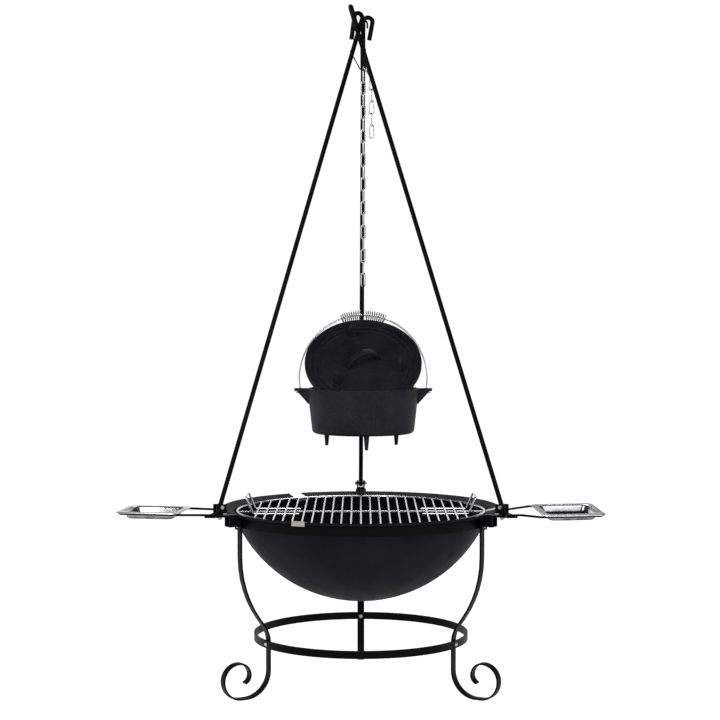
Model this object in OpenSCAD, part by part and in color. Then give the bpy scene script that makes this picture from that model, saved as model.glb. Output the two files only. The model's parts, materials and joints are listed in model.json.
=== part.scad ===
// Fire pit with grate, a three-pole hanger, a Dutch oven on a chain and two side trays.
// Each sub-part is drawn about the pit's upright axis; on_axis() then puts the whole
// object over the middle of its own footprint, with the ground at z = 0.

/* [Bowl] */
// Radius of the bowl's spherical wall
bowl_sphere_r = 300; // [292:1:310]
// Radius of the bowl's mouth
bowl_mouth_r = 281; // [276:1:284]
// Height of the bowl's lowest point above the ground
bowl_bottom_z = 190; // [180:1:200]
// Thickness of the bowl's wall
bowl_wall = 3.5; // [3:0.5:5]
// Outer radius of the sloping brim
brim_r = 304; // [300:1:308]

/* [Stand] */
// Outer radius of the band under the brim
top_ring_r = 294; // [292:1:296]
// Outer radius of the band near the ground
bottom_ring_r = 235; // [234:1:238]
// Height of the middle of the lower band
bottom_ring_z = 113; // [108:1:116]
// Width of the flat bar of the legs
leg_w = 16; // [12:1:20]
// Thickness of the flat bar of the legs and bands
bar_t = 4; // [3:0.5:4]

/* [Grate] */
// Radius of the grate's rim ring
grate_r = 271; // [262:1:271]
// Distance between the grate's bars
bar_pitch = 20.5; // [19:0.5:22]
// Diameter of the grate's bars
bar_d = 4; // [3:0.5:5]

/* [Poles] */
// Diameter of the pole rod
pole_d = 10; // [8:1:12]
// Height of the crossing where the poles meet
apex_z = 1435; // [1430:1:1440]
// Distance from the axis to a pole's foot
pole_foot_r = 343; // [338:1:348]

/* [Chain] */
// Distance from one chain link to the next
link_pitch = 26; // [25:0.5:27]
// Outer width of a chain link
link_w = 12; // [11:0.5:13]
// Wire diameter of a chain link
link_d = 3; // [2.5:0.5:3]
// Number of links in the main run
main_links = 18; // [17:1:18]
// Number of links in the spare end
spare_links = 5; // [3:1:6]

/* [Dutch oven] */
// Outer radius of the pot at its rim
pot_r = 122; // [119:1:123]
// Height of the pot's rim above the ground
pot_rim_z = 656; // [654:1:658]
// Depth of the pot outside
pot_h = 98; // [90:1:102]
// Radius of the lid
lid_r = 128; // [124:1:128]
// Angle of the standing lid from the level
lid_tilt = 45; // [43:1:47]

/* [Trays] */
// Length of a tray along its holder
tray_l = 137; // [130:1:142]
// Width of a tray across its holder
tray_w = 114; // [108:1:118]
// Depth of a tray
tray_h = 15; // [12:1:18]

/* [Hidden] */
$fn = 64;

// Directions of the three legs, seen from above
az_rear = 90;
az_left = 210;
az_right = 330;
leg_azimuths = [az_rear, az_left, az_right];

// Clearance between pieces that only rest on each other
gap = 0.3;
// Slack of a bolt in its hole
bolt_slack = 0.25;

// Colours
black_paint = [0.05, 0.05, 0.06];
cast_black = [0.09, 0.09, 0.1];
zinc = [0.72, 0.73, 0.75];
clip_zinc = [0.5, 0.47, 0.43];

// Bowl and brim
bowl_centre_z = bowl_bottom_z + bowl_sphere_r;
mouth_z = bowl_centre_z - sqrt(pow(bowl_sphere_r, 2) - pow(bowl_mouth_r, 2));
brim_rise = 6;
brim_t = 5;
brim_slope = brim_rise / (brim_r - bowl_mouth_r);

// Top band
ring_h = 20;
top_ring_z = mouth_z + (top_ring_r - bar_t - bowl_mouth_r) * brim_slope - ring_h - gap;
low_ring_h = 16.5;

// Centre line of a leg, from the top down: lengths of the straights, radii and turns of the arcs
leg_top_z = top_ring_z + ring_h - 0.5;
leg_top_r = top_ring_r + bar_t / 2 + 0.1;
leg_straight = 82;
leg_in_r = 230;
leg_in_turn = 36;
leg_slant = 20;
leg_out_r = 62;
foot_r = 56;
foot_flat = 12;
scroll_radii = [40, 36, 26, 18];
scroll_turns = [90, 90, 90, 70];

// Brackets
arm_t = 4;
arm_w = 24;
arm_rise = 8;
arm_step_r = 308;
arm_z = mouth_z + (leg_top_r + bar_t - bowl_mouth_r) * brim_slope - arm_t - 0.9;
arm_top_z = arm_z + arm_rise + arm_t;
arm_end_r = pole_foot_r + 14;
bracket_bolt_z = top_ring_z + 5;
bracket_t = 4;
low_leg_r = leg_top_r - (leg_in_r + leg_out_r) * (1 - cos(leg_in_turn)) - leg_slant * sin(leg_in_turn);
plate_t = 3;
plate_w = 22;
plate_l = 112;
plate_inset = 3;
holder_z = arm_top_z + gap;
socket_z = holder_z + plate_t + gap;
socket_w = 19;
socket_h = 20;
socket_t = 4;
swivel_d = 6;
pin_d = 5;
pin_z = socket_z + 14;

// Poles: each runs a little to one side of the axis, so the three pass each other
pole_sides = [5, 10, 17];
pole_overs = [18, 27, 40];
eye_rolls = [90, 180, 120];
eye_r = 10;
eye_turn = 190;
eye_returns = [38, 50, 36];

// Line that the chain and the pot hang on
hang_x = pole_sides[0];
hang_y = -8;
hook_d = 4;
hook_bottom_z = 1346;
hook_top_z = apex_z + 22;
crook_back = 10;
throat = 4.3;
tail_d = 2.6;

// Chain: distance between the middles of a link's two end bends, and height of its first link
link_reach = link_pitch + link_d + 0.2;
link_bend = (link_w - link_d) / 2;
chain_top_z = hook_bottom_z + hook_d / 2 + link_d / 2 + 0.2;
upper_links = 9;
hooked_tilt = 38;
hooked_x = 0.3;
hooked_z = chain_top_z + link_d + 1;
spare_x = hooked_x + link_reach * sin(hooked_tilt);
spare_z = hooked_z - link_reach * cos(hooked_tilt) + link_d + 0.2;
s_hook_d = 4.5;
chain_end_z = chain_top_z - (main_links - 1) * link_pitch - link_reach;
s_hook_top_z = chain_end_z + (link_d + s_hook_d) / 2 + 0.2;

// Grate
ring_d = 6;
grate_z = 387;
bar_z = grate_z + 1;
cross_d = 5;
cross_z = bar_z - (bar_d + cross_d) / 2 - 0.05;
last_bar = floor((grate_r - 40) / bar_pitch);
clip_w = 30;
clip_t = 1.2;
clip_turns = [-6, 121, 245];

// Tray holders
holder_turn = 10;
arm_half = 52;
holder_end = 205;
tray_start = 75;
wire_z = holder_z + plate_t + cross_d / 2 + 0.05;

// Pot, bail and lid
bail_r = 140;
bail_d = 3.5;
bail_drop = 20;
ear_hole_x = 138;
ear_t = 6;
bail_top_z = pot_rim_z + bail_drop + bail_r;
pot_wall = 4.5;
lid_up = 52;
lid_back = 1;

// Footprint: the origin is under the middle of the bounding box
reach_back = arm_end_r;
reach_front = brim_r;
axis_y = (reach_front - reach_back) / 2;

// ---- Helpers ----

function unit(v) = v / norm(v);

// Points of a round bend of radius r at corner b, coming from a and going to c
function bend(a, b, c, r) =
    let (u = unit(a - b), v = unit(c - b), half = acos(u * v) / 2, turn = 180 - 2 * half,
         middle = b + unit(u + v) * r / sin(half),
         p = b + u * r / tan(half) - middle, q = b + v * r / tan(half) - middle,
         steps = max(2, ceil(turn / 18)))
    [for (i = [0:steps]) middle + (p * sin(turn * (1 - i / steps)) + q * sin(turn * i / steps)) / sin(turn)];

// Centre line of a wire through a few corners, rounded to radius r, or to a list of radii
function wire_path(corners, r) =
    let (last = len(corners) - 1)
    concat([corners[0]],
           [for (i = [1:last - 1])
            each bend(corners[i - 1], corners[i], corners[i + 1], is_list(r) ? r[i - 1] : r)],
           [corners[last]]);

function heading(p, i) = unit(p[min(i + 1, len(p) - 1)] - p[max(i - 1, 0)]);
function square_to(n, t) = unit(n - t * (n * t));

// A round wire of diameter d along the points p
module wire(p, d, sides = 10) {
    last = len(p) - 1;
    start = heading(p, 0);
    ns = [for (i = 0, n = square_to(abs(start.z) < 0.7 ? [0, 0, 1] : [1, 0, 0], start); i <= last;
               i = i + 1, n = i <= last ? square_to(n, heading(p, i)) : n) n];
    points = [for (i = [0:last]) let (side = cross(heading(p, i), ns[i])) for (k = [0:sides - 1])
              p[i] + (ns[i] * cos(k * 360 / sides) + side * sin(k * 360 / sides)) * d / 2];
    skin = [for (i = [0:last - 1]) for (k = [0:sides - 1]) let (m = (k + 1) % sides)
            [i * sides + k, (i + 1) * sides + k, (i + 1) * sides + m, i * sides + m]];
    start_cap = [for (k = [0:sides - 1]) k];
    end_cap = [for (k = [sides - 1:-1:0]) last * sides + k];
    polyhedron(points, concat([start_cap], skin, [end_cap]), convexity = 8);
}

// Everything is drawn about the pit's axis, then set over the middle of the footprint
module on_axis() {
    translate([0, axis_y, 0]) children();
}

// At a leg: x points outwards, y along the rim
module at_leg(azimuth) {
    on_axis() rotate([0, 0, azimuth]) children();
}

// A cylinder from x = a to x = b
module bar_x(a, b, d, y = 0, z = 0) {
    translate([a, y, z]) rotate([0, 90, 0]) cylinder(h = b - a, d = d);
}

// A cylinder along y, centred
module bar_y(l, d, x = 0, z = 0) {
    translate([x, 0, z]) rotate([90, 0, 0]) cylinder(h = l, d = d, center = true);
}

// A round band standing on edge
module band(outer_r, z, h) {
    translate([0, 0, z]) difference() {
        cylinder(h = h, r = outer_r, $fn = 180);
        translate([0, 0, -1]) cylinder(h = h + 2, r = outer_r - bar_t, $fn = 180);
    }
}

// ---- Stand ----

// Points along an arc that starts at p with heading a and turns by turn degrees, left if positive
function arc(p, a, r, turn) =
    let (side = sign(turn), steps = ceil(abs(turn) / 6))
    [for (i = [1:steps]) let (t = turn * i / steps)
     p + r * side * [sin(a + t) - sin(a), cos(a) - cos(a + t)]];
function ahead(p, a, l) = p + l * [cos(a), sin(a)];

function scroll(p, a, k = 0) =
    k == len(scroll_radii) ? [] :
    let (q = arc(p, a, scroll_radii[k], scroll_turns[k]))
    concat(q, scroll(q[len(q) - 1], a + scroll_turns[k], k + 1));

function leg_line() =
    let (down = -90, slant = down - leg_in_turn, top = [leg_top_r, leg_top_z],
         a = ahead(top, down, leg_straight), b = arc(a, down, leg_in_r, -leg_in_turn),
         c = ahead(b[len(b) - 1], slant, leg_slant), d = arc(c, slant, leg_out_r, leg_in_turn),
         low = d[len(d) - 1], e = [low.x, foot_r + bar_t / 2],
         f = arc(e, down, foot_r, 90), g = ahead(f[len(f) - 1], 0, foot_flat))
    concat([top, a], b, [c], d, [e], f, [g], scroll(g, 0));

function flat_heading(p, i) = unit(p[min(i + 1, len(p) - 1)] - p[max(i - 1, 0)]);
function beside(p, off) =
    [for (i = [0:len(p) - 1]) let (t = flat_heading(p, i)) p[i] + off * [-t.y, t.x]];

module leg(azimuth) {
    line = leg_line();
    last = len(line) - 1;
    one_side = beside(line, bar_t / 2);
    other_side = beside(line, -bar_t / 2);
    color(black_paint) at_leg(azimuth) difference() {
        rotate([90, 0, 0]) linear_extrude(leg_w, center = true)
            polygon(concat(one_side, [for (i = [last:-1:0]) other_side[i]]));
        bar_x(0, 400, pin_d + 2 * bolt_slack, 0, bracket_bolt_z);
        bar_x(0, 260, pin_d + 2 * bolt_slack, 0, bottom_ring_z);
    }
}

module leg_left() { leg(az_left); }
module leg_right() { leg(az_right); }
module leg_rear() { leg(az_rear); }

module drilled_band(outer_r, z, h, hole_z) {
    difference() {
        band(outer_r, z, h);
        for (a = leg_azimuths)
            rotate([0, 0, a]) bar_x(outer_r - 20, outer_r + 20, pin_d + 2 * bolt_slack, 0, hole_z);
    }
}

module top_ring() {
    color(black_paint) on_axis() drilled_band(top_ring_r, top_ring_z, ring_h, bracket_bolt_z);
}

module bottom_ring() {
    color(black_paint) on_axis()
        drilled_band(bottom_ring_r, bottom_ring_z - low_ring_h / 2, low_ring_h, bottom_ring_z);
}

// A bolt along x: domed head beyond x = b, nut before x = a
module cross_bolt(a, b, z) {
    translate([0, 0, z]) {
        bar_x(a - 4.5, b + 0.5, pin_d);
        translate([b, 0, 0]) rotate([0, 90, 0]) cylinder(h = 2.6, d1 = 10, d2 = 6);
        translate([a - 3.6, 0, 0]) rotate([0, 90, 0]) cylinder(h = 3.5, d = 9, $fn = 6);
    }
}

module ring_bolts() {
    color(zinc) for (a = leg_azimuths) at_leg(a) {
        cross_bolt(top_ring_r - bar_t - 0.1, leg_top_r + bar_t / 2 + bracket_t + 0.2, bracket_bolt_z);
        cross_bolt(low_leg_r - bar_t / 2 - 0.1, bottom_ring_r + 0.1, bottom_ring_z);
    }
}

// ---- Brackets, sockets and poles ----

// A solid of width w about y, with its outline drawn in the upright plane along the arm
module arm_side(w, y, outline) {
    translate([0, y, 0]) rotate([90, 0, 0]) linear_extrude(w, center = true) polygon(outline);
}

module bracket(azimuth) {
    plate_x = leg_top_r + bar_t / 2 + 0.1;
    channel_end = plate_x + 28;
    low_z = arm_z - 14;
    outer_z = arm_top_z - arm_t;
    wall = 3;
    color(black_paint) at_leg(azimuth) difference() {
        union() {
            translate([plate_x, -arm_w / 2, bracket_bolt_z - 9])
                cube([bracket_t, arm_w, arm_z + arm_t - bracket_bolt_z + 9]);
            arm_side(arm_w, 0, [[plate_x, arm_z], [arm_step_r + arm_t, arm_z], [arm_step_r + arm_t, outer_z],
                     [arm_end_r, outer_z], [arm_end_r, arm_top_z], [arm_step_r, arm_top_z],
                     [arm_step_r, arm_z + arm_t], [plate_x, arm_z + arm_t]]);
            for (y = [(wall - arm_w) / 2, (arm_w - wall) / 2])
                arm_side(wall, y, [[plate_x, low_z], [channel_end, low_z], [channel_end, outer_z + 1],
                         [arm_step_r + 1, outer_z + 1], [arm_step_r + 1, arm_z + 1], [plate_x, arm_z + 1]]);
            translate([plate_x + bracket_t + 5, -arm_w / 2, low_z])
                cube([channel_end - plate_x - bracket_t - 5, arm_w, wall]);
        }
        bar_x(plate_x - 5, plate_x + bracket_t + 1, pin_d + 2 * bolt_slack, 0, bracket_bolt_z);
        translate([pole_foot_r, 0, outer_z - 1]) cylinder(h = arm_t + 2, d = swivel_d + 2 * bolt_slack);
    }
}

module bracket_left() { bracket(az_left); }
module bracket_right() { bracket(az_right); }
module bracket_rear() { bracket(az_rear); }

// The rear bracket holds no tray, so its socket stands straight on the arm
function socket_base(azimuth) = azimuth == az_rear ? arm_top_z : socket_z;
function pin_height(azimuth) = socket_base(azimuth) + pin_z - socket_z;

module pole_socket(azimuth) {
    base = socket_base(azimuth);
    color(black_paint) at_leg(azimuth) difference() {
        translate([pole_foot_r - 11, -socket_w / 2, base + 0.05]) cube([22, socket_w, socket_h]);
        translate([pole_foot_r - 12, -socket_w / 2 + socket_t, base + plate_t])
            cube([24, socket_w - 2 * socket_t, socket_h]);
        bar_y(socket_w + 2, pin_d + 2 * bolt_slack, pole_foot_r, pin_height(azimuth));
        translate([pole_foot_r, 0, base - 1]) cylinder(h = plate_t + 2, d = swivel_d + 2 * bolt_slack);
    }
}

module pole_socket_left() { pole_socket(az_left); }
module pole_socket_right() { pole_socket(az_right); }
module pole_socket_rear() { pole_socket(az_rear); }

// The upright bolts that hold the sockets down, with their nuts under the arms
module socket_bolts() {
    nut_h = 4;
    low_z = arm_top_z - arm_t - nut_h;
    color(zinc) for (a = leg_azimuths) at_leg(a) translate([pole_foot_r, 0, 0]) {
        seat_z = socket_base(a) + plate_t + 0.05;
        translate([0, 0, low_z - 2]) cylinder(h = seat_z - low_z + 2, d = swivel_d);
        translate([0, 0, seat_z]) cylinder(h = 2.6, d = 9.5);
        translate([0, 0, low_z - 0.05]) cylinder(h = nut_h, d = 11, $fn = 6);
    }
}

// The level bolts that pin the poles' feet
module pole_pins() {
    half = socket_w / 2;
    color(zinc) for (a = leg_azimuths) at_leg(a) translate([pole_foot_r, 0, pin_height(a)]) {
        bar_y(socket_w + 10, pin_d);
        translate([0, -half - 0.1, 0]) rotate([90, 0, 0]) cylinder(h = 3, d1 = 9.5, d2 = 7);
        translate([0, half + 0.1, 0]) rotate([-90, 0, 0]) cylinder(h = 3.5, d = 9, $fn = 6);
    }
}

// A rod that leans in from its pin, passes the axis a little to one side and ends in an eye.
// k counts the poles: rear, left, right
module pole(azimuth, k) {
    side = pole_sides[k];
    rise = apex_z - pin_height(azimuth);
    reach = norm([pole_foot_r, side, rise]);
    top = reach + pole_overs[k];
    below_pin = 6;
    eye = [for (t = [0:10:eye_turn]) [eye_r * (cos(t) - 1), 0, top + eye_r * sin(t)]];
    tip = eye[len(eye) - 1] + eye_returns[k] * [-sin(eye_turn), 0, cos(eye_turn)];
    color(black_paint) at_leg(azimuth) translate([pole_foot_r, 0, pin_height(azimuth)]) difference() {
        rotate([0, -acos(rise / reach), atan(side / pole_foot_r)]) rotate([0, 0, eye_rolls[k]])
            wire(concat([[0, 0, -below_pin]], eye, [tip]), pole_d, 24);
        bar_y(pole_d + 2, pin_d + 2 * bolt_slack);
    }
}

module pole_rear() { pole(az_rear, 0); }
module pole_left() { pole(az_left, 1); }
module pole_right() { pole(az_right, 2); }

// ---- Bowl and grate ----

function brim_top(r) = mouth_z + (r - bowl_mouth_r) * brim_slope + brim_t;

module fire_bowl() {
    inner_r = bowl_sphere_r - bowl_wall;
    low_in = sqrt(pow(inner_r, 2) - pow(bowl_centre_z - mouth_z, 2));
    high_z = brim_top(low_in + 1);
    high_in = sqrt(pow(inner_r, 2) - pow(bowl_centre_z - high_z, 2));
    color(cast_black) on_axis() rotate_extrude($fn = 180) {
        intersection() {
            translate([0, bowl_centre_z]) difference() {
                circle(r = bowl_sphere_r, $fn = 180);
                circle(r = inner_r, $fn = 180);
            }
            square([brim_r, mouth_z]);
        }
        polygon([[low_in, mouth_z], [bowl_mouth_r, mouth_z], [brim_r, mouth_z + brim_rise],
                 [brim_r, brim_top(brim_r)], [high_in, high_z]]);
    }
}

module grate_ring() {
    color(zinc) on_axis() translate([0, 0, grate_z]) rotate_extrude($fn = 180)
        translate([grate_r, 0]) circle(d = ring_d, $fn = 32);
}

// Half the length of a chord of the ring at a distance x from its middle
function chord(x) = sqrt(pow(grate_r, 2) - pow(x, 2)) - ring_d / 2 + 1;

module grate_bars() {
    color(zinc) on_axis() for (i = [-last_bar:last_bar])
        bar_y(2 * chord(i * bar_pitch), bar_d, i * bar_pitch, bar_z, $fn = 24);
}

module grate_cross_bar() {
    color(zinc) on_axis() bar_x(-chord(0), chord(0), cross_d, 0, cross_z, $fn = 24);
}

module grate_handle(side) {
    half = 48;
    foot_x = 234;
    rise = 38;
    lean = rise * tan(22);
    tail_x = 134;
    color(zinc) on_axis() scale([side, 1, 1]) wire(wire_path([
        [tail_x, -half, cross_z], [foot_x, -half, cross_z], [foot_x + lean, -half, cross_z + rise],
        [foot_x + lean, half, cross_z + rise], [foot_x, half, cross_z], [tail_x, half, cross_z]],
        6), cross_d);
}

module grate_handle_left() { grate_handle(-1); }
module grate_handle_right() { grate_handle(1); }

// Sheet clips over the brim, each with a shelf under the grate's ring
module grate_clips() {
    shelf_z = grate_z - ring_d / 2 - gap - clip_t / 2;
    lip_r = grate_r + ring_d / 2 + gap + clip_t / 2;
    over = gap + clip_t / 2 + 0.1;
    line = [[lip_r - 14, shelf_z], [lip_r, shelf_z], [lip_r, brim_top(lip_r) + over],
            [brim_r + over, brim_top(brim_r) + over], [brim_r + over, mouth_z + brim_rise - 4]];
    inner = beside(line, clip_t / 2);
    outer = beside(line, -clip_t / 2);
    color(clip_zinc) on_axis() for (a = clip_turns) rotate([0, 0, a]) rotate([90, 0, 0])
        linear_extrude(clip_w, center = true)
            polygon(concat(inner, [for (i = [len(line) - 1:-1:0]) outer[i]]));
}

// ---- Hanging gear ----

module hanging() {
    on_axis() translate([hang_x, hang_y, 0]) children();
}

// The crook leans back over the rear pole, where it rests just above the crossing
module top_hook() {
    crook = 9;
    color(black_paint) hanging() wire(wire_path([
        [crook, 0, hook_top_z - 18], [crook, crook_back, hook_top_z], [-crook, crook_back, hook_top_z],
        [-crook, 0, hook_top_z - 27], [-throat, 0, hook_top_z - 54], [-throat, 0, hook_bottom_z],
        [throat, 0, hook_bottom_z], [throat, 0, hook_top_z - 62]],
        [crook - 0.2, crook - 0.2, 8, 8, throat - 0.1, throat - 0.1]), hook_d);
}

// A thin wire that runs up and out from the hook's lower bend
module hook_tail() {
    start = [-throat - 2.3, -2.4, hook_bottom_z + 3];
    color(black_paint) hanging() wire([start, start + [-2, -0.8, 4], start + [-9, -1, 17],
        start + [-22, -1, 41]], tail_d, 8);
}

// A long link hanging down from its top wire, turned about the upright
module link(turn) {
    straight = link_reach - 2 * link_bend;
    rotate([0, 0, turn]) {
        translate([0, 0, -link_bend]) rotate([90, 0, 0]) rotate_extrude(angle = 180)
            translate([link_bend, 0]) circle(d = link_d, $fn = 24);
        translate([0, 0, -link_bend - straight]) rotate([-90, 0, 0]) rotate_extrude(angle = 180)
            translate([link_bend, 0]) circle(d = link_d, $fn = 24);
        for (x = [-link_bend, link_bend])
            translate([x, 0, -link_bend - straight]) cylinder(h = straight, d = link_d, $fn = 24);
    }
}

module links(first, last) {
    for (k = [first:last]) translate([0, 0, -k * link_pitch]) link(k % 2 == 0 ? 90 : 0);
}

module chain_upper() {
    color(zinc) hanging() translate([0, 0, chain_top_z]) links(0, upper_links - 1);
}

module chain_lower() {
    color(zinc) hanging() translate([0, 0, chain_top_z]) links(upper_links, main_links - 1);
}

module hooked_link() {
    color(zinc) hanging() translate([hooked_x, 0, hooked_z]) rotate([0, -hooked_tilt, 0]) link(90);
}

module chain_spare() {
    color(zinc) hanging() translate([spare_x, 0, spare_z + link_pitch]) links(1, spare_links);
}

module s_hook() {
    half = 5.6;
    low_z = bail_top_z - (bail_d + s_hook_d) / 2 - 0.2;
    color(black_paint) hanging() wire(wire_path([
        [0, half, s_hook_top_z - 13], [0, half, s_hook_top_z], [0, -half, s_hook_top_z],
        [0, -half, s_hook_top_z - 20], [0, half, low_z + 20], [0, half, low_z],
        [0, -half, low_z], [0, -half, low_z + 13]],
        [half - 0.1, half - 0.1, 10, 10, half - 0.1, half - 0.1]), s_hook_d);
}

// A point on the bail's half circle, at an angle from its top
function on_bail(a, off = 0) = [(bail_r + off) * sin(a), 0, pot_rim_z + bail_drop + (bail_r + off) * cos(a)];

module bail() {
    under_z = pot_rim_z - ear_t - bail_d / 2 - 1.2;
    end = [[ear_hole_x, 0, pot_rim_z - 2], [ear_hole_x, 0, under_z + 2.6], [ear_hole_x + 2, 0, under_z],
           [ear_hole_x + 9, 0, under_z - 0.4]];
    arch = [for (a = [-90:4:90]) on_bail(a)];
    color(zinc) hanging() wire(concat(
        [for (i = [3:-1:0]) [-end[i].x, 0, end[i].z]], arch, end), bail_d);
}

// Coiled wire grip, in two halves with room between them for the hook
module bail_grip() {
    wire_d = 1.5;
    pitch = 4.9;
    coil_r = 9.75;
    tight_r = (bail_d + wire_d) / 2 + 0.2;
    first = 2.4;
    last = 19.6;
    turns = round((last - first) * bail_r * PI / 180 / pitch);
    steps = 12 * turns;
    color(zinc) hanging() for (side = [-1, 1]) wire([for (i = [-12:steps + 12])
        let (t = max(0, min(1, i / steps)), a = side * (first + (last - first) * t), turn = 30 * i,
             ease = i < 0 ? -i / 12 : i > steps ? (i - steps) / 12 : 0,
             r = coil_r + (tight_r - coil_r) * ease)
        on_bail(a, r * cos(turn)) + [0, r * sin(turn), 0]], wire_d, 6);
}

// Outline of the pot's body, turned about its axis: straight walls that open towards the rim
module pot_outline(low_r, high_r, round_r, low, high) {
    hull() {
        translate([0, low]) square([low_r - round_r, 1]);
        intersection() {
            translate([low_r - round_r, low + round_r]) circle(r = round_r, $fn = 48);
            translate([0, low]) square([low_r, round_r]);
        }
        translate([0, high - 1]) square([high_r, 1]);
    }
}

module ear(side) {
    web_t = 3.5;
    web_low = pot_rim_z - 34;
    web_high = pot_rim_z - 3;
    rotate([0, 0, side]) {
        translate([pot_r - 3, -10, pot_rim_z - ear_t]) cube([ear_hole_x - pot_r + 3, 20, ear_t]);
        translate([ear_hole_x, 0, pot_rim_z - ear_t]) cylinder(h = ear_t, r = 13);
        for (y = [-7.25, 7.25]) translate([0, y, 0]) rotate([90, 0, 0])
            linear_extrude(web_t, center = true)
            polygon([[pot_r - 6, web_low], [pot_r - 2, web_low], [ear_hole_x + 6, pot_rim_z - ear_t - 1],
                     [ear_hole_x + 6, web_high], [pot_r - 4, web_high]]);
    }
}

module dutch_oven() {
    floor_z = pot_rim_z - pot_h;
    low_r = pot_r - 10;
    feet_r = 89;
    feet_h = 30.5;
    color(cast_black) hanging() difference() {
        union() {
            translate([0, 0, floor_z]) rotate_extrude($fn = 128) difference() {
                pot_outline(low_r, pot_r, 9, 0, pot_h);
                pot_outline(low_r - pot_wall, pot_r - pot_wall, 6, pot_wall, pot_h + 2);
            }
            for (side = [0, 180]) ear(side);
            for (a = [-85.5, 34.5, 154.5]) rotate([0, 0, a])
                translate([feet_r, 0, floor_z - feet_h]) cylinder(h = feet_h + 2, d1 = 7, d2 = 13);
        }
        for (x = [-ear_hole_x, ear_hole_x]) translate([x, 0, pot_rim_z - 10]) cylinder(h = 12, d = 7.4);
    }
}

// The lid stands tilted between the bail and the pot's rim, with its three stubby feet up
module lid() {
    plate = 4;
    strap_r = 36.5;
    strap_t = 5;
    foot_h = 35;
    foot_r = 0.64 * lid_r;
    color(cast_black) hanging() translate([0, lid_back, pot_rim_z + lid_up]) rotate([lid_tilt, 0, 0]) {
        rotate_extrude($fn = 144) {
            square([lid_r, plate]);
            translate([lid_r - 5, 0]) square([5, plate + 6]);
            translate([lid_r - 20, 0]) square([3, plate + 2.5]);
            translate([lid_r - 31, 0]) square([3, plate + 2]);
        }
        rotate([0, 0, 22]) translate([0, 0, plate - 0.5]) rotate([90, 0, 0])
            linear_extrude(14, center = true) difference() {
                circle(r = strap_r, $fn = 64);
                circle(r = strap_r - strap_t, $fn = 64);
                translate([-strap_r, -2 * strap_r]) square([2 * strap_r, 2 * strap_r]);
            }
        for (a = [106, 226, 346]) rotate([0, 0, a]) translate([foot_r, 0, plate - 0.5]) hull() {
            translate([-4, -9.5, 0]) cube([8, 19, 1]);
            translate([-3, -7, foot_h]) cube([6, 14, 1]);
        }
    }
}

// ---- Side trays ----

// At a swivel: x points along the holder, z = 0 is the ground
module at_swivel(side) {
    turn = side > 0 ? holder_turn : 180 - holder_turn;
    on_axis() translate([side * pole_foot_r * cos(30), -pole_foot_r * sin(30), 0])
        rotate([0, 0, turn]) children();
}

module holder_plate(side) {
    color(black_paint) at_swivel(side) translate([0, 0, holder_z]) difference() {
        translate([-plate_inset, -plate_l / 2, 0]) cube([plate_w, plate_l, plate_t]);
        translate([0, 0, -1]) cylinder(h = plate_t + 2, d = swivel_d + 0.16);
    }
}

// Roll of a holder's outer part towards the front, and the height of its wires at y
function roll(side) = side > 0 ? 6 : 1;
function rolled(side, y) = wire_z + side * y * sin(roll(side));

// Half of a holder's bent wire, from the swivel's plate out to its end
function holder_arm(side, y) =
    let (inner = 1 - plate_inset, bend_x = plate_w - plate_inset + 8, outer_z = rolled(side, y))
    [[inner, y, wire_z], [bend_x, y, wire_z], [tray_start - 4, y, outer_z], [holder_end, y, outer_z]];

module tray_holder(side) {
    far = holder_arm(side, arm_half);
    color(black_paint) at_swivel(side)
        wire(wire_path(concat(holder_arm(side, -arm_half), [for (i = [3:-1:0]) far[i]]), 8), cross_d);
}

// A flat sheet with round corners, l long and w wide
module sheet(l, w, t, corner) {
    linear_extrude(t) hull() for (x = [-1, 1], y = [-1, 1])
        translate([x * (l / 2 - corner), y * (w / 2 - corner)]) circle(r = corner, $fn = 24);
}

// A rectangular dish with a flat rim and drafted sides that hangs between the holder's wires
module tray(side) {
    rim = 13;
    draft = 9;
    steel = 1;
    well_l = tray_l - 2 * rim;
    well_w = tray_w - 2 * rim;
    color(zinc) at_swivel(side)
        translate([tray_start + tray_l / 2, 0, wire_z]) rotate([side * roll(side), 0, 0])
        translate([0, 0, cross_d / 2 + gap]) difference() {
            union() {
                sheet(tray_l, tray_w, steel, 12);
                hull() {
                    sheet(well_l, well_w, 0.5, 12);
                    translate([0, 0, -tray_h]) sheet(well_l - draft, well_w - draft, 0.5, 12);
                }
            }
            hull() {
                translate([0, 0, 0.6]) sheet(well_l - 2 * steel, well_w - 2 * steel, 1, 11);
                translate([0, 0, steel - tray_h])
                    sheet(well_l - 2 * steel - draft, well_w - 2 * steel - draft, 0.5, 11);
            }
        }
}

module holder_plate_left() { holder_plate(-1); }
module holder_plate_right() { holder_plate(1); }
module tray_holder_left() { tray_holder(-1); }
module tray_holder_right() { tray_holder(1); }
module tray_left() { tray(-1); }
module tray_right() { tray(1); }

leg_left();
leg_right();
leg_rear();
top_ring();
bottom_ring();
ring_bolts();
bracket_left();
bracket_right();
bracket_rear();
pole_socket_left();
pole_socket_right();
pole_socket_rear();
socket_bolts();
pole_pins();
pole_left();
pole_right();
pole_rear();
fire_bowl();
grate_ring();
grate_bars();
grate_cross_bar();
grate_handle_left();
grate_handle_right();
grate_clips();
top_hook();
hook_tail();
hooked_link();
chain_upper();
chain_lower();
chain_spare();
s_hook();
bail();
bail_grip();
dutch_oven();
lid();
tray_holder_left();
tray_holder_right();
holder_plate_left();
holder_plate_right();
tray_left();
tray_right();
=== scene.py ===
"""Fire pit with grate: finished materials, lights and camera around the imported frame."""
import json
import math

import bpy
from mathutils import Matrix, Vector


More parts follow.
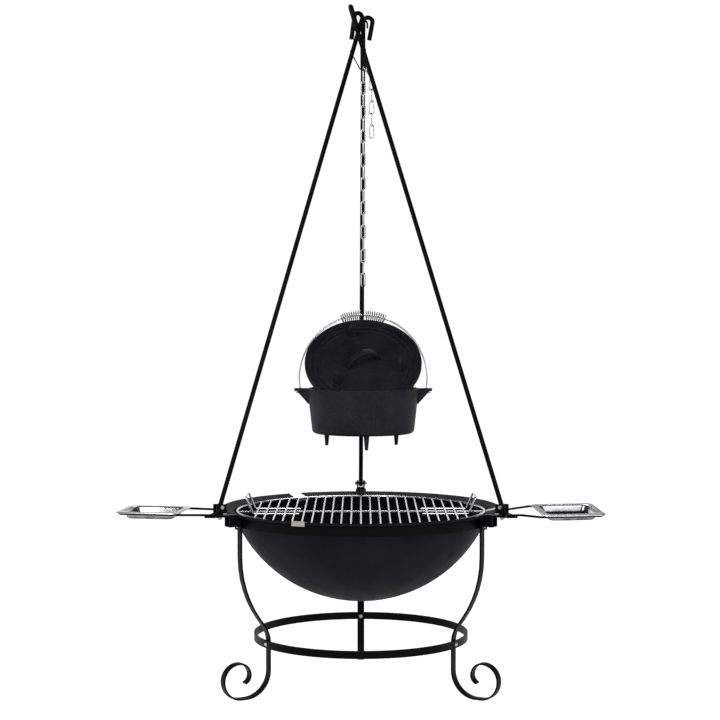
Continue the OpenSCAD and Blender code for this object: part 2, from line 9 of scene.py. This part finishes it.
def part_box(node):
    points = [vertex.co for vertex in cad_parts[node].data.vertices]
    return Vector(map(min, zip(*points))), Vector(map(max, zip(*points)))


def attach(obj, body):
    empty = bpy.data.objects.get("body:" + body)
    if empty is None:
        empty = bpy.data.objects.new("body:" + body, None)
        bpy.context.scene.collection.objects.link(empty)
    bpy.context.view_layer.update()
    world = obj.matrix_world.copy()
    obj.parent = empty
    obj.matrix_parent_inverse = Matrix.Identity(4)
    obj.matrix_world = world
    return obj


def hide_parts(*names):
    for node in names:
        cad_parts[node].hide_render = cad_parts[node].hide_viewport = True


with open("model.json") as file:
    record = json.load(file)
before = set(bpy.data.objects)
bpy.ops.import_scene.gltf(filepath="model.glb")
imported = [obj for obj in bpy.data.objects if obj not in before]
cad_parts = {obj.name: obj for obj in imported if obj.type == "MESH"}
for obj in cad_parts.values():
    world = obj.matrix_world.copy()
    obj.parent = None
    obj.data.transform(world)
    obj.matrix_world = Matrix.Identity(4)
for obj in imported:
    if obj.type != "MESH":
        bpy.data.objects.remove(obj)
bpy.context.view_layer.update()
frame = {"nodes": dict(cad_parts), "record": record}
NODES = frame["nodes"]
MM = 0.001

# The pit's axis stands at the middle of the bowl
bowl_low, bowl_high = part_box("fire_bowl")
AXIS = Vector(((bowl_low.x + bowl_high.x) / 2, (bowl_low.y + bowl_high.y) / 2, 0))
# The pot's bail hangs in the line of the chain
bail_low, bail_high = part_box("bail")
HANG = Vector(((bail_low.x + bail_high.x) / 2, (bail_low.y + bail_high.y) / 2, 0))
RIM_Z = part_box("dutch_oven")[1].z


# ---- Materials ----

def links_of(mat):
    return mat.node_tree.nodes, mat.node_tree.links


def start_material(name, color, roughness, metallic=0.0):
    """A material with its Principled shader, and object coordinates for its patterns."""
    mat = bpy.data.materials.new(name)
    mat.use_nodes = True
    nodes, links = links_of(mat)
    shader = nodes["Principled BSDF"]
    shader.inputs["Base Color"].default_value = (*color, 1)
    shader.inputs["Roughness"].default_value = roughness
    shader.inputs["Metallic"].default_value = metallic
    coords = nodes.new("ShaderNodeTexCoord")
    return mat, shader, coords.outputs["Object"]


def noise(mat, where, scale, detail=3.0, roughness=0.55):
    """A cloudy pattern from 0 to 1, with scale features to a metre."""
    nodes, links = links_of(mat)
    tex = nodes.new("ShaderNodeTexNoise")
    tex.inputs["Scale"].default_value = scale
    tex.inputs["Detail"].default_value = detail
    tex.inputs["Roughness"].default_value = roughness
    links.new(where, tex.inputs["Vector"])
    return tex.outputs["Fac"]


def stretched(mat, where, scale):
    """Coordinates scaled along each axis, for a grain that runs one way."""
    nodes, links = links_of(mat)
    mapping = nodes.new("ShaderNodeMapping")
    mapping.inputs["Scale"].default_value = scale
    links.new(where, mapping.inputs["Vector"])
    return mapping.outputs["Vector"]


def remap(mat, value, low, high, to_low, to_high):
    """The value's range low to high, mapped onto to_low to to_high and held at its ends."""
    nodes, links = links_of(mat)
    node = nodes.new("ShaderNodeMapRange")
    limits = {"From Min": low, "From Max": high, "To Min": to_low, "To Max": to_high}
    for key, number in limits.items():
        node.inputs[key].default_value = number
    links.new(value, node.inputs["Value"])
    return node.outputs["Result"]


def blend_colors(mat, factor, one, two):
    """A colour between one and two, either of which may be another node's output."""
    nodes, links = links_of(mat)
    mix = nodes.new("ShaderNodeMix")
    mix.data_type = "RGBA"
    for socket, color in ((mix.inputs[6], one), (mix.inputs[7], two)):
        if isinstance(color, tuple):
            socket.default_value = (*color, 1)
        else:
            links.new(color, socket)
    links.new(factor, mix.inputs[0])
    return mix.outputs[2]


def bump(mat, height, strength, distance, under=None):
    """A normal bent by the height pattern, on top of another normal if there is one."""
    nodes, links = links_of(mat)
    node = nodes.new("ShaderNodeBump")
    node.inputs["Strength"].default_value = strength
    node.inputs["Distance"].default_value = distance
    links.new(height, node.inputs["Height"])
    if under is not None:
        links.new(under, node.inputs["Normal"])
    return node.outputs["Normal"]


def rounded_edges(mat, radius):
    """A normal that turns smoothly over sharp edges."""
    nodes, _ = links_of(mat)
    round_off = nodes.new("ShaderNodeBevel")
    round_off.samples = 4
    round_off.inputs["Radius"].default_value = radius
    return round_off.outputs["Normal"]


def edge_mask(mat, rounded):
    """1 on edges and 0 on flats: where the rounded normal leaves the true one."""
    nodes, links = links_of(mat)
    geometry = nodes.new("ShaderNodeNewGeometry")
    dot = nodes.new("ShaderNodeVectorMath")
    dot.operation = "DOT_PRODUCT"
    links.new(rounded, dot.inputs[0])
    links.new(geometry.outputs["Normal"], dot.inputs[1])
    return remap(mat, dot.outputs["Value"], 0.98, 0.8, 0.0, 1.0)


def times(mat, one, two):
    nodes, links = links_of(mat)
    node = nodes.new("ShaderNodeMath")
    node.operation = "MULTIPLY"
    links.new(one, node.inputs[0])
    links.new(two, node.inputs[1])
    return node.outputs[0]


def finish_material(mat, shader, color=None, roughness=None, normal=None):
    nodes, links = links_of(mat)
    for key, output in (("Base Color", color), ("Roughness", roughness), ("Normal", normal)):
        if output is not None:
            links.new(output, shader.inputs[key])
    return mat


def black_paint():
    """Satin black paint: faint orange peel, dusty patches, edges worn a little lighter."""
    mat, shader, where = start_material("black_paint", (0.008, 0.008, 0.010), 0.42)
    rounded = rounded_edges(mat, 0.6 * MM)
    patches = noise(mat, where, 14, 5)
    rubbing = remap(mat, noise(mat, where, 60, 4), 0.42, 0.62, 0.0, 0.8)
    worn = times(mat, edge_mask(mat, rounded), rubbing)
    clean, dusty = (0.0004, 0.0004, 0.0008), (0.0014, 0.0013, 0.0021)
    color = blend_colors(mat, remap(mat, patches, 0.35, 0.7, 0, 1), clean, dusty)
    color = blend_colors(mat, worn, color, (0.012, 0.0115, 0.013))
    rough = remap(mat, noise(mat, where, 35, 4), 0.3, 0.7, 0.34, 0.52)
    peel = bump(mat, noise(mat, where, 900, 2), 0.12, 0.25 * MM, rounded)
    shader.inputs["Specular IOR Level"].default_value = 0.05
    return finish_material(mat, shader, color, rough, peel)


def cast_iron(name, dark, light, grain_scale, grain, rough_low, rough_high, specular):
    """Bare or stove-blacked casting: sandy grain under soft mottling, edges lighter, partly burnished wear
    and partly a painted highlight on ridges and rims.
    """
    mat, shader, where = start_material(name, dark, 0.6)
    rounded = rounded_edges(mat, 1.2 * MM)
    mottle = remap(mat, noise(mat, where, 9, 6), 0.35, 0.68, 0, 1)
    color = blend_colors(mat, mottle, dark, light)
    speck = remap(mat, noise(mat, where, grain_scale, 3), 0.56, 0.72, 0, 0.7)
    color = blend_colors(mat, speck, color, tuple(2.6 * c for c in light))
    # Lighter edges: partly burnished wear, partly a painted highlight that brightens ridges and rims
    rubbing = remap(mat, noise(mat, where, 45, 4), 0.4, 0.65, 0.1, 0.8)
    burnish_and_highlight = times(mat, edge_mask(mat, rounded), rubbing)
    color = blend_colors(mat, burnish_and_highlight, color, tuple(4.5 * c for c in light))
    rough = remap(mat, noise(mat, where, 22, 5), 0.3, 0.7, rough_low, rough_high)
    sand = bump(mat, noise(mat, where, grain_scale, 4, 0.65), grain, 0.5 * MM, rounded)
    pits = bump(mat, noise(mat, where, grain_scale * 0.22, 3), grain * 0.6, 0.9 * MM, sand)
    shader.inputs["Specular IOR Level"].default_value = specular
    return finish_material(mat, shader, color, rough, pits)


# Noise scale of the lines that drawing leaves in wire and sheet
DRAW_LINES = 180


def bright_metal(name, color, tint, rough_low, rough_high, stretch=(1, 1, 1), grain=0.05):
    """Plated or polished metal: faint draw lines, smudges that change its gloss."""
    mat, shader, where = start_material(name, color, rough_low, 1.0)
    lines = noise(mat, stretched(mat, where, stretch), DRAW_LINES, 4)
    smudge = noise(mat, where, 16, 5)
    rounded = rounded_edges(mat, 0.5 * MM)
    shade = blend_colors(mat, remap(mat, smudge, 0.35, 0.7, 0, 1), color, tint)
    rough = remap(mat, smudge, 0.3, 0.72, rough_low, rough_high)
    return finish_material(mat, shader, shade, rough, bump(mat, lines, grain, 0.2 * MM, rounded))


def tray_steel():
    """Pressed sheet steel: a polished rim over a dish floor painted dark as painted shade and a painted
    reflection of dark surroundings, with scratch lines.
    """
    mat, shader, where = start_material("tray_steel", (0.8, 0.8, 0.82), 0.16, 1.0)
    lines = noise(mat, stretched(mat, where, (1, 7, 1)), 140, 4)
    clouds = noise(mat, where, 24, 4)
    # Below the rim the dish floor is painted dark, as painted shade and a painted reflection of dark
    # surroundings, mottled, with lighter painted streaks along the scratch lines
    painted_dark_mask = mat.node_tree.nodes.new("ShaderNodeAttribute")
    painted_dark_mask.attribute_name = "painted_dark_mask"
    painted_reflection_mottle = remap(mat, clouds, 0.4, 0.62, 0, 1)
    painted_dark_color = blend_colors(mat, painted_reflection_mottle, (0.07, 0.066, 0.075), (0.24, 0.23, 0.25))
    painted_dark_color = blend_colors(mat, remap(mat, lines, 0.55, 0.7, 0, 0.7), painted_dark_color, (0.5, 0.49, 0.52))
    haze = remap(mat, clouds, 0.35, 0.7, 0, 1)
    bright = blend_colors(mat, haze, (0.5, 0.5, 0.53), (0.36, 0.36, 0.39))
    color = blend_colors(mat, painted_dark_mask.outputs["Fac"], bright, painted_dark_color)
    rough = remap(mat, lines, 0.35, 0.7, 0.14, 0.34)
    scratches = bump(mat, lines, 0.03, 0.2 * MM, rounded_edges(mat, 0.5 * MM))
    return finish_material(mat, shader, color, rough, scratches)


MATERIALS = {
    "black_paint": black_paint(),
    "bowl_iron": cast_iron("bowl_iron", (0.0040, 0.0036, 0.0060), (0.0074, 0.0068, 0.0104),
                           700, 0.35, 0.55, 0.7, 0.04),
    "oven_iron": cast_iron("oven_iron", (0.0050, 0.0044, 0.0070), (0.0130, 0.0120, 0.0165),
                           420, 0.75, 0.5, 0.66, 0.1),
    "chrome_wire": bright_metal("chrome_wire", (0.6, 0.6, 0.62), (0.42, 0.42, 0.44), 0.12, 0.26),
    "spring_steel": bright_metal("spring_steel", (0.12, 0.12, 0.13), (0.06, 0.06, 0.07), 0.2, 0.34),
    "chain_steel": bright_metal("chain_steel", (0.46, 0.47, 0.49), (0.3, 0.3, 0.32), 0.14, 0.3),
    "zinc_bolts": bright_metal("zinc_bolts", (0.42, 0.42, 0.44), (0.28, 0.28, 0.3), 0.28, 0.45,
                               grain=0.12),
    "clip_steel": bright_metal("clip_steel", (0.5, 0.45, 0.4), (0.3, 0.26, 0.22), 0.34, 0.52,
                               (1, 6, 1), 0.15),
    "tray_steel": tray_steel(),
}
SLOTS = {part["node"]: part["material_slot"] for part in frame["record"]["subparts"]}

SMOOTH_ANGLE = math.radians(32)
WELD_WITHIN = 0.004 * MM


def crease(piece):
    """Smooth shading stops at edges sharper than the smooth angle."""
    split = piece.modifiers.new("crease", "EDGE_SPLIT")
    split.split_angle = SMOOTH_ANGLE


def dress_cad():
    """Every carried-over CAD node gets its finish, and smooth shading across its small facets."""
    for name, node in NODES.items():
        node.data.materials.clear()
        node.data.materials.append(MATERIALS[SLOTS[name]])
        for face in node.data.polygons:
            face.use_smooth = True
        weld = node.modifiers.new("weld", "WELD")
        weld.merge_threshold = WELD_WITHIN
        crease(node)


dress_cad()


# ---- Finer pieces that stand for the plain CAD ones ----

def add_mesh(name, points, faces, material, smooth=False):
    mesh = bpy.data.meshes.new(name)
    mesh.from_pydata([tuple(p) for p in points], [], faces)
    mesh.materials.append(material)
    for face in mesh.polygons:
        face.use_smooth = smooth
    piece = bpy.data.objects.new(name, mesh)
    bpy.context.collection.objects.link(piece)
    return piece


def stand_in(piece, body, place):
    """The piece, drawn in millimetres about its own origin, takes over the look of a CAD node."""
    piece.data.transform(place.to_3x3().to_4x4() @ Matrix.Scale(MM, 4))
    piece.matrix_world = Matrix.Translation(place.translation)
    crease(piece)
    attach(piece, body)


def skin(rings, closed_ends):
    """Points and faces of a surface through rings of equal length; the ends are filled if asked."""
    count = len(rings[0])
    points = [p for ring in rings for p in ring]
    faces = []
    for i in range(len(rings) - 1):
        for k in range(count):
            m = (k + 1) % count
            faces.append((i * count + k, i * count + m, (i + 1) * count + m, (i + 1) * count + k))
    if closed_ends:
        faces.append(tuple(reversed(range(count))))
        faces.append(tuple(range((len(rings) - 1) * count, len(rings) * count)))
    return points, faces


def round_rect(half_l, half_w, corner, z, steps=6):
    """A ring at height z: a rectangle with rounded corners."""
    corner = min(corner, half_l, half_w)
    ring = []
    for quarter, (sx, sy) in enumerate(((1, 1), (-1, 1), (-1, -1), (1, -1))):
        for i in range(steps + 1):
            a = math.radians(90 * (quarter + i / steps))
            ring.append((sx * (half_l - corner) + corner * math.cos(a),
                         sy * (half_w - corner) + corner * math.sin(a), z))
    return ring


def turned(profile, count=160):
    """Points and faces of a profile of (radius, height) turned about z, open at its two ends."""
    rings = [[(r * math.cos(2 * math.pi * k / count), r * math.sin(2 * math.pi * k / count), z)
              for k in range(count)] for r, z in profile]
    return skin(rings, True)


def joined(*parts):
    """One list of points and one of faces, made from those of several parts."""
    points, faces = [], []
    for part_points, part_faces in parts:
        base = len(points)
        points += part_points
        faces += [tuple(base + i for i in face) for face in part_faces]
    return points, faces


def moved(part, matrix):
    return [tuple(matrix @ Vector(p)) for p in part[0]], part[1]


# Section of a tray, from the middle of its floor up over the rolled rim and back below:
# distance in from the rim's edge, height above the rim's underside
TRAY_SECTION = (
    (24, -14), (21, -13.8), (19.4, -12.9), (18.5, -11.4), (18, -10), (14.8, -1.4), (14.2, -0.1),
    (13.3, 0.7),
    (12, 1), (2.4, 1), (1.3, 0.95), (0.4, 0.5), (0, -0.4), (0.4, -1.3), (1.3, -1.75), (2.2, -1.4),
    (2.6, -0.5),
    (3.2, 0), (12.2, 0), (13.1, -0.4), (13.8, -1.5), (17, -10.2), (17.6, -12), (18.8, -13.9), (20.8, -14.8),
    (24, -15))
TRAY_HALF = (68.5, 57)
TRAY_CORNER = 12
# Height at which the polished rim turns into the dish floor's painted shade and painted dark reflection,
# and over how much it does so
PAINTED_DARK_FROM, PAINTED_DARK_OVER = -5, 6
# The swivels stand on a circle about the axis; each tray lies out from its swivel
SWIVEL_R = 0.343
SWIVEL_AZIMUTH = math.radians(-30)
HOLDER_TURN = 10
TRAY_OUT = 0.1435
TRAY_ROLL = {"right": 6, "left": -1}
# The holder's wire over its plate, and the rim over the wire's middle
WIRE_RISE = 2.55
RIM_RISE = 2.8


def make_tray(side):
    """A pressed steel dish with a rolled rim, lying across the wires of its holder."""
    sign = 1 if side == "right" else -1
    rings = [round_rect(TRAY_HALF[0] - d, TRAY_HALF[1] - d, TRAY_CORNER, z) for d, z in TRAY_SECTION]
    points, faces = skin(rings, True)
    swivel = AXIS + SWIVEL_R * Vector((sign * math.cos(SWIVEL_AZIMUTH), math.sin(SWIVEL_AZIMUTH), 0))
    turn = math.radians(HOLDER_TURN if sign > 0 else 180 - HOLDER_TURN)
    wire_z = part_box("holder_plate_" + side)[1].z + WIRE_RISE * MM
    place = (Matrix.Translation(swivel) @ Matrix.Rotation(turn, 4, "Z")
             @ Matrix.Translation((TRAY_OUT, 0, wire_z))
             @ Matrix.Rotation(math.radians(TRAY_ROLL[side]), 4, "X")
             @ Matrix.Translation((0, 0, RIM_RISE * MM)))
    tray = add_mesh("steel_tray_" + side, points, faces, MATERIALS["tray_steel"], True)
    # How much of the dish floor's painted shade and painted dark reflection each point takes, growing below
    # the rim
    painted_dark_mask = tray.data.attributes.new("painted_dark_mask", "FLOAT", "POINT")
    painted_dark_mask.data.foreach_set("value", [max(0, min(1, (PAINTED_DARK_FROM - z) / PAINTED_DARK_OVER)) for _, _, z in points])
    stand_in(tray, "dish_" + side, place)
    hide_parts("tray_" + side)


# Half section of the lid: radius, height over its underside
LID_SECTION = (
    (0.5, 0.3), (60, 0.3), (118, 0.3), (125.6, 0.4), (127.3, 1.2), (128, 2.8), (128, 8), (127.5, 9.2),
    (126.4, 9.9), (124.9, 9.9), (123.7, 9.3), (123.1, 8.2), (122.7, 5.4), (121.8, 4.3), (120.4, 4),
    (112.4, 4), (111.6, 4.3),
    (111, 5.5), (110.2, 6.3), (108.8, 6.3), (108, 5.5), (107.4, 4.3), (106.6, 4), (101.4, 4), (100.6, 4.3),
    (100, 5.2), (99.2, 5.9), (97.8, 5.9), (97, 5.2), (96.4, 4.3), (95.6, 4), (50, 4), (0.5, 4))
LID_TILT = 45
LID_UP = 0.052
LID_BACK = 0.001
# The handle's arch: the radius and thickness of its middle line, and how much its ends thicken
STRAP_R = 34
STRAP_TURN = 22
STRAP_HALF_THICK = 2.5
STRAP_HALF_WIDE = 7
STRAP_SPREAD = 2.2
STRAP_STEPS = 24
# The handle and the feet sink this far into the plate's top
PLATE_TOP = 3.6
FOOT_OUT = 0.64 * 128
FOOT_ANGLES = (106, 226, 346)
# A foot from its root up: half length, half width, corner radius and height
FOOT_SECTIONS = (
    (6.6, 12, 4, PLATE_TOP), (5, 10.4, 3, 4.6), (4.1, 9.5, 2.6, 6.6), (3.2, 7.3, 2, 36.4),
    (2.8, 6.9, 1.8, 37.8), (1.9, 6, 1.4, 38.5))


def strap():
    """The lid's arched handle: a flat strap that thickens where it meets the lid."""
    rings = []
    for i in range(STRAP_STEPS + 1):
        a = math.pi * i / STRAP_STEPS
        thick = STRAP_HALF_THICK + STRAP_SPREAD * abs(math.cos(a)) ** 6
        ring = []
        for x, y, _ in round_rect(thick, STRAP_HALF_WIDE, 1.8, 0, 3):
            out = (STRAP_R + x) * math.cos(a)
            up = (STRAP_R + min(x, STRAP_HALF_THICK)) * math.sin(a)
            ring.append((out, y, PLATE_TOP + up))
        rings.append(ring)
    return skin(rings, True)


def lid_foot():
    return skin([round_rect(*section, steps=4) for section in FOOT_SECTIONS], True)


def make_lid():
    """The cast lid, tilted in the pot's mouth: a ridged plate, its handle and three feet."""
    out = Matrix.Translation((FOOT_OUT, 0, 0))
    feet = [moved(lid_foot(), Matrix.Rotation(math.radians(a), 4, "Z") @ out) for a in FOOT_ANGLES]
    handle = moved(strap(), Matrix.Rotation(math.radians(STRAP_TURN), 4, "Z"))
    points, faces = joined(turned(LID_SECTION), handle, *feet)
    place = (Matrix.Translation((HANG.x, HANG.y + LID_BACK, RIM_Z + LID_UP))
             @ Matrix.Rotation(math.radians(LID_TILT), 4, "X"))
    piece = add_mesh("cast_lid", points, faces, MATERIALS["oven_iron"], True)
    stand_in(piece, "pot_lid", place)
    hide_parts("lid")


def tube(path, radius, sides=10):
    """A round wire along a path, with a frame carried along so that it doesn't twist."""
    rings = []
    normal = None
    for i, here in enumerate(path):
        ahead = (path[min(i + 1, len(path) - 1)] - path[max(i - 1, 0)]).normalized()
        if normal is None:
            normal = ahead.orthogonal()
        normal = (normal - ahead * normal.dot(ahead)).normalized()
        across = ahead.cross(normal)
        rings.append([tuple(here + radius * (math.cos(a) * normal + math.sin(a) * across))
                      for a in (2 * math.pi * k / sides for k in range(sides))])
    return skin(rings, True)


BAIL_R = 140
BAIL_DROP = 20
COIL_R = 9.75
TIGHT_R = 2.7
COIL_FROM, COIL_TO = 2.4, 19.6
COIL_WIRE_R = 0.75
COIL_TURNS = 9
COIL_STEPS = 32


def make_grip():
    """The bail's cool-touch grip: two open coils of thin wire that close in on the bail at their ends."""
    halves = []
    for side in (-1, 1):
        path = []
        last = COIL_TURNS * COIL_STEPS
        for i in range(-COIL_STEPS, last + COIL_STEPS + 1):
            along = max(0, min(1, i / last))
            a = math.radians(side * (COIL_FROM + (COIL_TO - COIL_FROM) * along))
            turn = 2 * math.pi * i / COIL_STEPS
            ease = max(-i, i - last, 0) / COIL_STEPS
            ease = ease * ease * (3 - 2 * ease)
            r = COIL_R + (TIGHT_R - COIL_R) * ease
            out = BAIL_R + r * math.cos(turn)
            path.append(Vector((out * math.sin(a), r * math.sin(turn), BAIL_DROP + out * math.cos(a))))
        halves.append(tube(path, COIL_WIRE_R, 8))
    points, faces = joined(*halves)
    piece = add_mesh("coil_grip", points, faces, MATERIALS["spring_steel"], True)
    stand_in(piece, "bail_wire", Matrix.Translation((HANG.x, HANG.y, RIM_Z)))
    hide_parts("bail_grip")


make_tray("left")
make_tray("right")
make_lid()
make_grip()


# ---- Floor, light and camera ----

def make_floor():
    """A white ground that glows a little, so that only soft shadows show on it."""
    half = 30
    mat, shader, where = start_material("pale_floor", (0.3, 0.3, 0.3), 0.9)
    rough = remap(mat, noise(mat, where, 3), 0.3, 0.7, 0.85, 0.95)
    shader.inputs["Specular IOR Level"].default_value = 0
    shader.inputs["Emission Color"].default_value = (1, 1, 1, 1)
    shader.inputs["Emission Strength"].default_value = 0.97
    finish_material(mat, shader, None, rough)
    floor = add_mesh("floor", [(-half, -half, 0), (half, -half, 0), (half, half, 0), (-half, half, 0)],
                     [(0, 1, 2, 3)], mat)


def make_world():
    """A white studio that darkens overhead, so that bright metal shows both light and dark."""
    world = bpy.data.worlds.new("studio")
    bpy.context.scene.world = world
    world.use_nodes = True
    nodes, links = world.node_tree.nodes, world.node_tree.links
    background = nodes["Background"]
    coords = nodes.new("ShaderNodeTexCoord")
    split = nodes.new("ShaderNodeSeparateXYZ")
    links.new(coords.outputs["Generated"], split.inputs[0])
    height = remap(world, split.outputs["Z"], 0.19, 0.32, 1.04, 0.14)
    links.new(height, background.inputs["Strength"])
    background.inputs["Color"].default_value = (1, 1, 1, 1)


def add_light(name, place, target, size, power):
    """A soft rectangular light at place, turned to target."""
    data = bpy.data.lights.new(name, "AREA")
    data.shape = "RECTANGLE"
    data.size, data.size_y = size
    data.energy = power
    light = bpy.data.objects.new(name, data)
    light.location = place
    light.rotation_euler = (Vector(target) - Vector(place)).to_track_quat("-Z", "Y").to_euler()
    bpy.context.collection.objects.link(light)


def make_camera():
    """Level with the middle of the object, 4 m away, looking very slightly down."""
    distance, height = 4.05, 0.873
    down = math.radians(2.2)
    data = bpy.data.cameras.new("camera")
    data.sensor_width = 36
    data.lens = 92.5
    camera = bpy.data.objects.new("camera", data)
    camera.location = (AXIS.x - 0.002, AXIS.y - distance, height)
    camera.rotation_euler = (math.pi / 2 - down, 0, 0)
    bpy.context.collection.objects.link(camera)
    bpy.context.scene.camera = camera


make_floor()
make_world()
add_light("key", (-1.3, -3.2, 2.4), (0, 0, 0.5), (1.4, 1.4), 70)
add_light("rim", (0.3, 2.4, 3.0), (0, 0, 0.8), (1.2, 1.2), 55)
add_light("fill", (1.9, -2.6, 1.4), (0, 0, 0.5), (1.4, 2.0), 24)
make_camera()
bpy.context.scene.view_settings.view_transform = "Standard"
